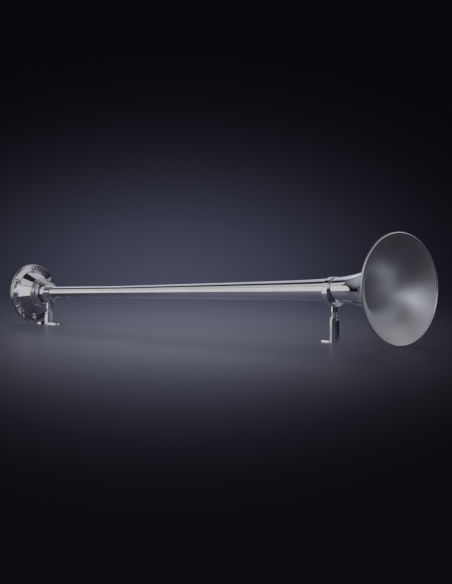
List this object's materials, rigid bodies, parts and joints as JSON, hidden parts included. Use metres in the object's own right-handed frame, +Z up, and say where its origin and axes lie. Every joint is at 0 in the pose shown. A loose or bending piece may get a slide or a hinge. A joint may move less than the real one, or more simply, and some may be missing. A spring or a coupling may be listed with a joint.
{
  "type": "marine air horn",
  "caption": "Long chromed trumpet horn with a flared bell, blown by a round diaphragm driver, on short screw-adjusted deck feet.",
  "frame": {"origin": "centre of the box's base, on the deck between the two stands", "axes": "+X forward out of the bell, +Z up, +Y to the left of the horn"},
  "size_m": [1.0399, 0.21, 0.2106],
  "materials": {
    "polished_chrome": "mirror-polished chrome plate on spun brass",
    "cast_chrome": "polished chrome plate on a turned casting",
    "stand_chrome": "polished chrome plate on turned brass",
    "fastener_chrome": "bright plated fasteners",
    "plain_steel": "plain stainless steel",
    "brass": "turned brass, unplated inside the driver",
    "bronze": "rolled phosphor bronze sheet",
    "seal_rubber": "black sheet rubber"
  },
  "bodies": {
    "horn": {"bell": "polished_chrome", "rim_wire": "plain_steel", "horn_tube": "polished_chrome", "throat_ferrule": "brass", "throat_seal": "seal_rubber", "lock_nut": "polished_chrome", "front_housing": "cast_chrome", "throat_nozzle": "brass", "front_gasket": "seal_rubber", "rear_gasket": "seal_rubber", "rear_cover": "cast_chrome", "passage_plug": "brass", "cover_screws": "fastener_chrome", "cover_nuts": "fastener_chrome", "front_eye": "stand_chrome", "front_set_screw": "plain_steel", "rear_eye": "stand_chrome", "rear_set_screw": "plain_steel"},
    "diaphragm_centre": {"diaphragm": "bronze", "diaphragm_button": "plain_steel"},
    "front_lift": {"front_washer": "fastener_chrome"},
    "front_foot": {"front_foot": "stand_chrome"},
    "front_jam_nut": {"front_jam_nut": "fastener_chrome"},
    "rear_lift": {"rear_washer": "fastener_chrome"},
    "rear_foot": {"rear_foot": "stand_chrome"},
    "rear_jam_nut": {"rear_jam_nut": "fastener_chrome"}
  },
  "joints": [
    {"name": "diaphragm_flex", "type": "slide", "parent": "horn", "child": "diaphragm_centre", "axis": [-0.999, 0, -0.0436], "range_m": [0, 0.00035], "stiffness_N_per_m": 20000, "deforming": ["diaphragm"]},
    {"name": "front_lift", "type": "slide", "parent": "horn", "child": "front_lift", "axis": [0, 0, 1], "range_m": [-0.00977, 0.00977]},
    {"name": "front_foot_turn", "type": "hinge", "parent": "front_lift", "child": "front_foot", "pos_m": [0.34964, 0, 0], "axis": [0, 0, 1], "range_deg": [-1800, 1800]},
    {"name": "front_jam_nut_turn", "type": "hinge", "parent": "front_lift", "child": "front_jam_nut", "pos_m": [0.34964, 0, 0], "axis": [0, 0, 1], "range_deg": [-1800, 1800]},
    {"name": "rear_lift", "type": "slide", "parent": "horn", "child": "rear_lift", "axis": [0, 0, 1], "range_m": [-0.00586, 0.00586]},
    {"name": "rear_foot_turn", "type": "hinge", "parent": "rear_lift", "child": "rear_foot", "pos_m": [-0.4426, 0, 0], "axis": [0, 0, 1], "range_deg": [-1080, 1080]},
    {"name": "rear_jam_nut_turn", "type": "hinge", "parent": "rear_lift", "child": "rear_jam_nut", "pos_m": [-0.4426, 0, 0], "axis": [0, 0, 1], "range_deg": [-1080, 1080]}
  ],
  "couplings": [
    {"joint": "front_foot_turn", "follows": "front_lift", "rad_per_m": 3215.6},
    {"joint": "front_jam_nut_turn", "follows": "front_lift", "rad_per_m": 3215.6},
    {"joint": "rear_foot_turn", "follows": "rear_lift", "rad_per_m": 3215.6},
    {"joint": "rear_jam_nut_turn", "follows": "rear_lift", "rad_per_m": 3215.6}
  ]
}
